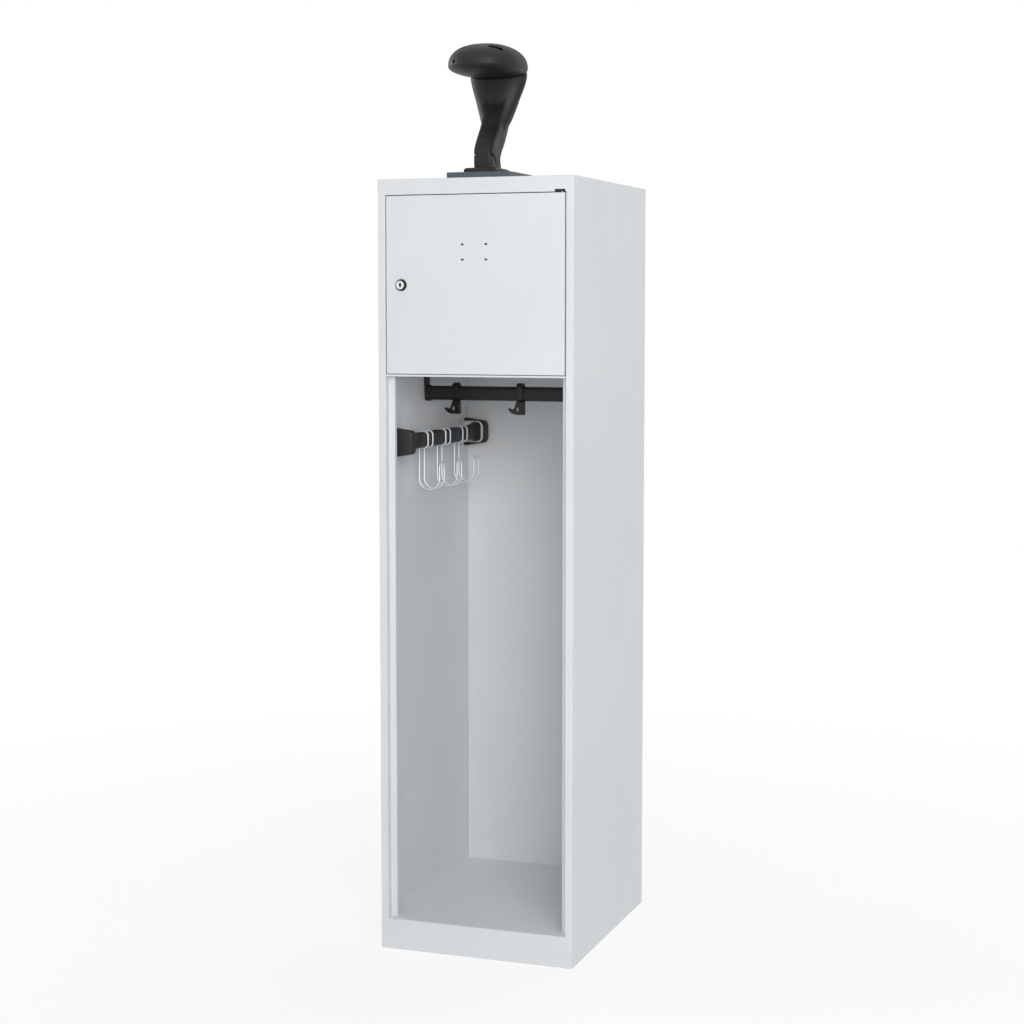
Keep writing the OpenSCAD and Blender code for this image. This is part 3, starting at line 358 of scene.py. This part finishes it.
def eased(rows, steps=5):
    """More rows between the given ones, on a smooth curve by their first value."""
    slopes = []
    for i in range(len(rows)):
        low, high = rows[max(i - 1, 0)], rows[min(i + 1, len(rows) - 1)]
        slopes.append([(b - a) / (high[0] - low[0]) for a, b in zip(low, high)])
    made = []
    for i in range(len(rows) - 1):
        span = rows[i + 1][0] - rows[i][0]
        for k in range(steps):
            t = k / steps
            made.append([(2 * t ** 3 - 3 * t ** 2 + 1) * a + (t ** 3 - 2 * t ** 2 + t) * span * p
                         + (3 * t ** 2 - 2 * t ** 3) * b + (t ** 3 - t ** 2) * span * q
                         for a, b, p, q in zip(rows[i], rows[i + 1], slopes[i], slopes[i + 1])])
    return made + [list(rows[-1])]


# Helmet holder

FOOT_TOP = 1925.5 * MM
STALK_FRONT = -234.25 * MM
STALK_W, STALK_D, STALK_H = 142 * MM, 100 * MM, 225 * MM
# Rings of the leg and of the cone: height, front, back and width, as shares of the stalk's sizes
LEG_RINGS = [
    (0, -0.01, 0.73, 0.335), (0.07, -0.02, 0.68, 0.335), (0.116, -0.02, 0.66, 0.335),
    (0.196, 0, 0.77, 0.34), (0.25, 0.07, 0.88, 0.345), (0.307, 0.18, 0.97, 0.354),
    (0.378, 0.33, 1.06, 0.366), (0.45, 0.48, 1.16, 0.373), (0.52, 0.58, 1.23, 0.373),
    (0.6, 0.68, 1.26, 0.373), (0.7, 0.79, 1.28, 0.37), (0.8, 0.86, 1.29, 0.366)]
CONE_RINGS = [
    (0.33, 0.63, 0.87, 0.3), (0.373, 0.58, 1, 0.362), (0.42, 0.59, 1.11, 0.39),
    (0.47, 0.59, 1.21, 0.437), (0.53, 0.61, 1.27, 0.525), (0.6, 0.66, 1.31, 0.61),
    (0.68, 0.73, 1.32, 0.703), (0.76, 0.78, 1.32, 0.79), (0.86, 0.81, 1.37, 0.903),
    (0.93, 0.82, 1.41, 0.97), (1, 0.82, 1.43, 1.015), (1.06, 0.84, 1.42, 1.01)]
LEG_SQUARENESS = 9
ROUND_SQUARENESS = 2.3
# The recess in the front of the cone: its foot and its arched top as shares of the stalk's height
RECESS_HALF_W, RECESS_SAG = 25.5 * MM, 9 * MM
RECESS_LOW, RECESS_HIGH = 0.4, 0.765
RECESS_ARC_STEPS = 12
STALK_OVERRUN = 40 * MM
TONGUE_HALF_W, TONGUE_H, TONGUE_D = 21 * MM, 68.3 * MM, 15 * MM
KNUCKLE_R, KNUCKLE_HALF_W = 33 * MM, 43 * MM
KNUCKLE_SIDES = 96
# The dome's reach above and below its widest line and its wall, and in degrees the angle at which its
# skin starts and how far it sweeps
DOME_UP, DOME_DOWN, DOME_WALL = 55 * MM, 22.5 * MM, 3 * MM
DOME_LOW_ANGLE, DOME_SWEEP, DOME_STEPS = -66, 150, 40
# The vents, cut 1 mm longer and 2.5 mm wider than in the solids, and the strap's slot. Sizes without MM
# are in millimetres, and the turn is in degrees
VENT_L, VENT_W, VENT_TURN = 34, 11.5, 18
VENT_X, VENT_FORWARD, VENT_OVERRUN = 45, 71 * MM, 5 * MM
STRAP_SLOT_H, STRAP_SLOT_W, STRAP_SLOT_X, STRAP_SLOT_DROP = 9, 6, 50, 49
HOLDER_SKIN_MM = 1.5


def stalk_part(rows, squareness):
    rings = []
    for height, front, back, width in eased(rows):
        middle = STALK_FRONT + STALK_D * (front + back) / 2
        outline = ring(STALK_W * width / 2, STALK_D * (back - front) / 2, squareness)
        rings.append([(x, middle + y, FOOT_TOP + STALK_H * height) for x, y in outline])
    return loft(rings)


def dome_skin(node, set_in):
    """The dome's outer or inner skin: it narrows below its widest line and closes in a low crown."""
    low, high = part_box(node)
    half_w, half_d = (high.x - low.x) / 2 - set_in, (high.y - low.y) / 2 - set_in
    up, down, middle = DOME_UP - set_in, DOME_DOWN - set_in, high.z - DOME_UP
    rings = []
    for i in range(DOME_STEPS + 1):
        angle = math.radians(DOME_LOW_ANGLE + DOME_SWEEP * i / DOME_STEPS)
        share = math.cos(angle) ** (2 / ROUND_SQUARENESS)
        height = power(math.sin(angle), 2 / ROUND_SQUARENESS) * (up if angle > 0 else down)
        rings.append([(x, (low.y + high.y) / 2 + y, middle + height)
                      for x, y in ring(half_w * share, half_d * share, ROUND_SQUARENESS)])
    return loft(rings)


def stalk_recess():
    """The hollow in the front of the cone, flat at its foot and arched downwards at its top."""
    half, high = RECESS_HALF_W, FOOT_TOP + STALK_H * RECESS_HIGH
    radius = (half * half + RECESS_SAG * RECESS_SAG) / (2 * RECESS_SAG)
    arc = []
    for step in range(RECESS_ARC_STEPS, -RECESS_ARC_STEPS - 1, -1):
        x = step * half / RECESS_ARC_STEPS
        arc.append((x, high + radius - RECESS_SAG - math.sqrt(radius ** 2 - x ** 2)))
    low = FOOT_TOP + STALK_H * RECESS_LOW
    return prism_along_y([(-half, low), (half, low)] + arc, STALK_FRONT - STALK_OVERRUN,
                         STALK_FRONT + STALK_D)


def make_stalk():
    """A leg that leans back and grows into a cone, cut out for the tongue and knuckle of its foot."""
    leg, cone = stalk_part(LEG_RINGS, LEG_SQUARENESS), stalk_part(CONE_RINGS, ROUND_SQUARENESS)
    stalk = combined(leg, combined(cone, stalk_recess(), "DIFFERENCE"), "UNION")
    stalk = combined(stalk, dome_skin("helmet_dome", 0), "DIFFERENCE")
    tongue = [(-TONGUE_HALF_W, -OVERRUN), (TONGUE_HALF_W, -OVERRUN), (TONGUE_HALF_W, TONGUE_H),
              (-TONGUE_HALF_W, TONGUE_H)]
    tongue = prism_along_y([(x, FOOT_TOP + z) for x, z in tongue], STALK_FRONT - STALK_OVERRUN,
                           STALK_FRONT + TONGUE_D)
    stalk = combined(stalk, tongue, "DIFFERENCE")
    knuckle = [(STALK_FRONT + KNUCKLE_R * math.cos(a), FOOT_TOP + KNUCKLE_R * math.sin(a))
               for a in (2 * math.pi * k / KNUCKLE_SIDES for k in range(KNUCKLE_SIDES))]
    knuckle = loft([[(x, y, z) for y, z in knuckle] for x in (-KNUCKLE_HALF_W, KNUCKLE_HALF_W)])
    stalk = combined(stalk, knuckle, "DIFFERENCE")
    fit("holder_stalk", moulded(stalk, HOLDER_SKIN_MM), "helmet_stalk")


def make_dome():
    """A hollow dome with two vents in its crown and a slot for the strap."""
    low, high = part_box("helmet_dome")
    middle = (low.y + high.y) / 2
    outside, inside = dome_skin("helmet_dome", 0), dome_skin("helmet_dome", DOME_WALL)
    dome = combined(outside, inside, "DIFFERENCE")
    for side in (-1, 1):
        turn = math.radians(VENT_TURN * side)
        outline = [((x * math.cos(turn) - y * math.sin(turn) + VENT_X * side) * MM,
                    (x * math.sin(turn) + y * math.cos(turn)) * MM + middle - VENT_FORWARD)
                   for x, y in long_hole(VENT_L, VENT_W)]
        vent = loft([[(x, y, z) for x, y in outline]
                     for z in (high.z - DOME_UP, high.z + VENT_OVERRUN)])
        dome = combined(dome, vent, "DIFFERENCE")
    slot = [((z - STRAP_SLOT_X) * MM, high.z + (x - STRAP_SLOT_DROP) * MM)
            for x, z in long_hole(STRAP_SLOT_H, STRAP_SLOT_W)]
    dome = combined(dome, prism_along_y(slot, low.y - OVERRUN, middle), "DIFFERENCE")
    fit("holder_dome", moulded(dome, HOLDER_SKIN_MM), "helmet_dome")


# Caps of the arm

CAP_HALF_H_AT_WALL, CAP_HALF_H_AT_END = 38 * MM, 28 * MM
CAP_SKIN_MM = 1.1


def make_arm_caps():
    """End caps of the arm: moulded boxes, open towards the arm, that taper in height from the wall."""
    for node in ("arm_cap_front", "arm_cap_rear"):
        low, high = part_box(node)
        middle, wall, end = (low.z + high.z) / 2, low.x - OVERRUN, high.x + OVERRUN
        taper = [(wall, middle - CAP_HALF_H_AT_WALL), (end, middle - CAP_HALF_H_AT_END),
                 (end, middle + CAP_HALF_H_AT_END), (wall, middle + CAP_HALF_H_AT_WALL)]
        wedge = prism_along_y(taper, low.y - OVERRUN, high.y + OVERRUN)
        cap = combined(solid_of(node), wedge, "INTERSECT")
        fit("tapered_" + node, moulded(cap, CAP_SKIN_MM), node)


# Screws: the recess that the driver fits, in millimetres

CROSS_HALF, CROSS_ARM = 2.2, 0.5
CROSS = [(CROSS_HALF, -CROSS_ARM), (CROSS_HALF, CROSS_ARM), (CROSS_ARM, CROSS_ARM),
         (CROSS_ARM, CROSS_HALF), (-CROSS_ARM, CROSS_HALF), (-CROSS_ARM, CROSS_ARM),
         (-CROSS_HALF, CROSS_ARM), (-CROSS_HALF, -CROSS_ARM), (-CROSS_ARM, -CROSS_ARM),
         (-CROSS_ARM, -CROSS_HALF), (CROSS_ARM, -CROSS_HALF), (CROSS_ARM, -CROSS_ARM)]
# A socket for a 5 mm hexagon key, by the radius to its corners
SOCKET_R = 2.9
SOCKET = [(SOCKET_R * math.cos(math.pi * k / 3), SOCKET_R * math.sin(math.pi * k / 3))
          for k in range(6)]
# The node, the way that its heads face, the recess and its depth
SCREWS = [("rail_screws", (0, 0, -1), CROSS, 1.4), ("arm_wall_screws", (1, 0, 0), CROSS, 1.2),
          ("cam_screw", (0, 1, 0), CROSS, 1.6), ("helmet_bolts", (0, 0, 1), SOCKET, 2.2)]
SCREW_EDGE_MM = 0.25


def head_ends(mesh, way):
    """The middle of each separate screw's head end, looking the given way, in the order of the mesh."""
    work = bmesh.new()
    work.from_mesh(mesh)
    work.verts.index_update()
    met, ends = set(), []
    for first in work.verts:
        if first.index in met:
            continue
        met.add(first.index)
        queue, group = [first], []
        while queue:
            vert = queue.pop()
            group.append(vert.co.copy())
            for edge in vert.link_edges:
                other = edge.other_vert(vert)
                if other.index not in met:
                    met.add(other.index)
                    queue.append(other)
        low = Vector([min(co[i] for co in group) for i in range(3)])
        high = Vector([max(co[i] for co in group) for i in range(3)])
        middle = (low + high) / 2
        ends.append(middle + way * (max(co.dot(way) for co in group) - middle.dot(way)))
    work.free()
    return ends


def make_screws():
    for node, facing, outline, depth_mm in SCREWS:
        mesh, way = solid_of(node), Vector(facing)
        side = way.orthogonal().normalized()
        up = way.cross(side)
        for end in head_ends(mesh, way):
            cut = loft([[end + way * rise * MM + side * x * MM + up * y * MM for x, y in outline]
                        for rise in (-depth_mm, OVERRUN_MM)])
            mesh = combined(mesh, cut, "DIFFERENCE")
        fit("driven_" + node, smooth_shaded(broken_edges(mesh, SCREW_EDGE_MM)), node)


# Door, lock and welds, in millimetres

EDGE_MM = 0.3
# The label slots' middles, and a size that is wider than in the solids, where they look too small
LABEL_SLOTS = ((-30, 1705.25), (30, 1705.25), (-30, 1741.75), (30, 1741.75))
LABEL_SLOT_L, LABEL_SLOT_H = 7.5, 4.4
DOOR_CUT_DEPTH = 1.6
KEYWAY_HALF_W, KEYWAY_HALF_H, KEY_SLOT_HALF_W, KEY_SLOT_HALF_H = 3.8, 7.1, 0.9, 3.6
# The depth of the recess that the black diamond of painted shade lies in, how far the diamond rises
# from the recess's bottom and is let into it, and what the groove for the key leaves above that bottom
KEYWAY_DEPTH, KEYWAY_RISE, KEYWAY_SEAT, KEY_SLOT_LEFT = 1.15, 0.7, 0.2, 0.3
KEYWAY_EDGE_MM = 0.15
# Heights of the two seams, and the section of the weld as (x, depth)
WELD_HEIGHTS = ((0.4, 76.2), (1862.2, 1898.9))
WELD_SECTION = ((230.5, 0.02), (233.1, 0.02), (232.4, 1.6), (230.5, 1.9))


def make_door():
    """The folded door tray with its four label slots."""
    mesh = broken_edges(solid_of("door_panel"), EDGE_MM)
    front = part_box("door_panel")[0].y
    for x, z in LABEL_SLOTS:
        slot = [((x + a) * MM, (z + b) * MM) for a, b in long_hole(LABEL_SLOT_L, LABEL_SLOT_H)]
        cut = prism_along_y(slot, front - OVERRUN, front + DOOR_CUT_DEPTH * MM)
        mesh = combined(mesh, cut, "DIFFERENCE")
    fit("fine_door_panel", smooth_shaded(mesh), "door_panel")


def make_painted_recess_shade():
    """Painted shade: a black diamond in the bottom of the lock's diamond recess, with a groove for the
    key.
    """
    low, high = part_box("lock_core")
    x, z, front = (low.x + high.x) / 2, (low.z + high.z) / 2, low.y + KEYWAY_DEPTH * MM
    diamond = [(x + a * MM, z + b * MM) for a, b in ((0, KEYWAY_HALF_H), (-KEYWAY_HALF_W, 0),
                                                     (0, -KEYWAY_HALF_H), (KEYWAY_HALF_W, 0))]
    slot = [(x + a * KEY_SLOT_HALF_W * MM, z + b * KEY_SLOT_HALF_H * MM)
            for a, b in ((1, 1), (-1, 1), (-1, -1), (1, -1))]
    painted_recess_shade = combined(prism_along_y(diamond, front - KEYWAY_RISE * MM, front + KEYWAY_SEAT * MM),
                      prism_along_y(slot, front - OVERRUN, front - KEY_SLOT_LEFT * MM), "DIFFERENCE")
    # Black lock plastic, as painted shade inside the recess
    add_piece("painted_recess_shade", smooth_shaded(broken_edges(painted_recess_shade, KEYWAY_EDGE_MM)), "lock_core", "lock_black")


def make_ground_welds():
    """Where plinth and roof meet the posts, the seam is welded, ground flush and painted over."""
    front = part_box("plinth")[0].y
    work = bmesh.new()
    for low, high in WELD_HEIGHTS:
        for side in (-1, 1):
            corners = [work.verts.new((side * x * MM, front + y * MM, z * MM))
                       for z in (low, high) for x, y in WELD_SECTION]
            work.faces.new(corners[:4])
            work.faces.new(reversed(corners[4:]))
            for k in range(4):
                after = (k + 1) % 4
                work.faces.new((corners[k], corners[k + 4], corners[after + 4], corners[after]))
    bmesh.ops.recalc_face_normals(work, faces=work.faces)
    mesh = bpy.data.meshes.new("ground_welds")
    work.to_mesh(mesh)
    work.free()
    add_piece("ground_welds", mesh, "cabinet", "cabinet_paint")


# Nodes whose own solid is finished: mouldings, with the size in mm of the mesh that softens them,
# fittings with broken edges, and sheet, which stays crisp

MOULDED = {"helmet_foot": 1.0, "rail_hook_1": 0.8, "rail_hook_2": 0.8, "hinge_block_top": 0.6,
           "rail_bracket_left": 0.8, "rail_bracket_right": 0.8}
FINE = ("lock_housing", "lock_core", "equipment_arm", "clothes_rail", "helmet_base_plate",
        "wire_hook_1", "wire_hook_2", "wire_hook_3", "lock_nut", "hinge_bush_bottom",
        "hinge_pin_top", "hinge_pin_bottom", "door_buffers", "lock_cam", "helmet_nuts",
        "arm_end_screws")
SHEET = ("roof_panel", "side_panel_left", "side_panel_right", "compartment_shelf", "plinth",
         "floor_panel", "back_panel", "arm_bracket", "door_stiffener")


def finish_solids():
    for node, skin_mm in MOULDED.items():
        fit("moulded_" + node, moulded(solid_of(node), skin_mm), node)
    for node in FINE:
        fit("fine_" + node, smooth_shaded(broken_edges(solid_of(node), EDGE_MM)), node)
    for node in SHEET:
        fit("sheet_" + node, smooth_shaded(solid_of(node)), node)


# Stage and light, in metres

FLOOR_HALF = 14
# The floor glows this much close to the locker, where its shadow falls, and fully further away
NEAR, FAR, NEAR_GLOW, FAR_GLOW = 0.6, 3.0, 0.8, 1.0
WORLD_FILL = 0.3
LIT_POINT = (0, 0, 0.9)


def seen_directly(tree):
    """1 where the eye, a reflection or a view through glass meets the surface, and 0 for its light."""
    path = add(tree, "ShaderNodeLightPath")
    seen = add(tree, "ShaderNodeMath",
               {0: path.outputs["Is Camera Ray"], 1: path.outputs["Is Glossy Ray"]}, operation="ADD")
    seen = add(tree, "ShaderNodeMath",
               {0: seen.outputs[0], 1: path.outputs["Is Transmission Ray"]},
               operation="ADD", use_clamp=True)
    return seen.outputs[0]


def pale_stage():
    """A pale floor that stays near white in the picture and keeps the object's soft shadow."""
    material, tree, _ = new_material("pale_floor")
    spot = add(tree, "ShaderNodeNewGeometry").outputs["Position"]
    away = add(tree, "ShaderNodeVectorMath", {0: spot}, operation="LENGTH")
    share = add(tree, "ShaderNodeMapRange",
                {"Value": away.outputs["Value"], "From Min": NEAR, "From Max": FAR, "To Min": NEAR_GLOW,
                 "To Max": FAR_GLOW})
    lift = add(tree, "ShaderNodeMath", {0: seen_directly(tree), 1: share.outputs["Result"]},
               operation="MULTIPLY")
    base = add(tree, "ShaderNodeBsdfDiffuse", {"Color": linear("#f4f4f4")})
    glow = add(tree, "ShaderNodeEmission", {"Color": grey(1.0), "Strength": 1.0})
    mix = add(tree, "ShaderNodeMixShader", {0: lift.outputs[0], 1: base.outputs[0], 2: glow.outputs[0]})
    add(tree, "ShaderNodeOutputMaterial", {"Surface": mix.outputs[0]})
    mesh = bpy.data.meshes.new("floor")
    corners = [(x * FLOOR_HALF, y * FLOOR_HALF, 0) for x, y in ((-1, -1), (1, -1), (1, 1), (-1, 1))]
    mesh.from_pydata(corners, [], [(0, 1, 2, 3)])
    mesh.materials.append(material)
    floor = put("floor", mesh)


def soft_world():
    """White to the eye, a softer grey to the object."""
    world = bpy.data.worlds.new("studio")
    bpy.context.scene.world = world
    world.use_nodes = True
    tree = world.node_tree
    tree.nodes.clear()
    room = add(tree, "ShaderNodeBackground", {"Color": linear("#e6eff3"), "Strength": WORLD_FILL})
    white = add(tree, "ShaderNodeBackground", {"Color": grey(1.0), "Strength": 1.0})
    mix = add(tree, "ShaderNodeMixShader",
              {0: seen_directly(tree), 1: room.outputs[0], 2: white.outputs[0]})
    add(tree, "ShaderNodeOutputWorld", {"Surface": mix.outputs[0]})


def soft_box(name, place, size, watts, mirrored=True):
    """A soft box lamp; mirrored says whether glossy paint shows its image."""
    data = bpy.data.lights.new(name, "AREA")
    data.shape = "RECTANGLE"
    data.size, data.size_y = size
    data.energy = watts
    lamp = put(name, data)
    lamp.location = place
    lamp.visible_glossy = mirrored
    lamp.rotation_euler = (Vector(LIT_POINT) - Vector(place)).to_track_quat("-Z", "Y").to_euler()


def light_studio():
    soft_world()
    soft_box("front_box", (2.4, -4.8, 2.7), (3.0, 2.6), 178)
    soft_box("top_box", (0.4, -1.5, 5.5), (4.0, 4.0), 32)
    soft_box("left_box", (-5.6, 0.4, 2.6), (3.0, 3.0), 95)
    # Its image would clip the upper rear corner of the right side to white
    soft_box("back_box", (1.6, 5.6, 2.6), (4.0, 3.0), 170, mirrored=False)


place_camera()
materials = make_materials()
dress_nodes()
make_stalk()
make_dome()
make_arm_caps()
make_screws()
make_door()
make_painted_recess_shade()
make_ground_welds()
finish_solids()
pale_stage()
light_studio()

bpy.context.scene.view_settings.view_transform = "Standard"
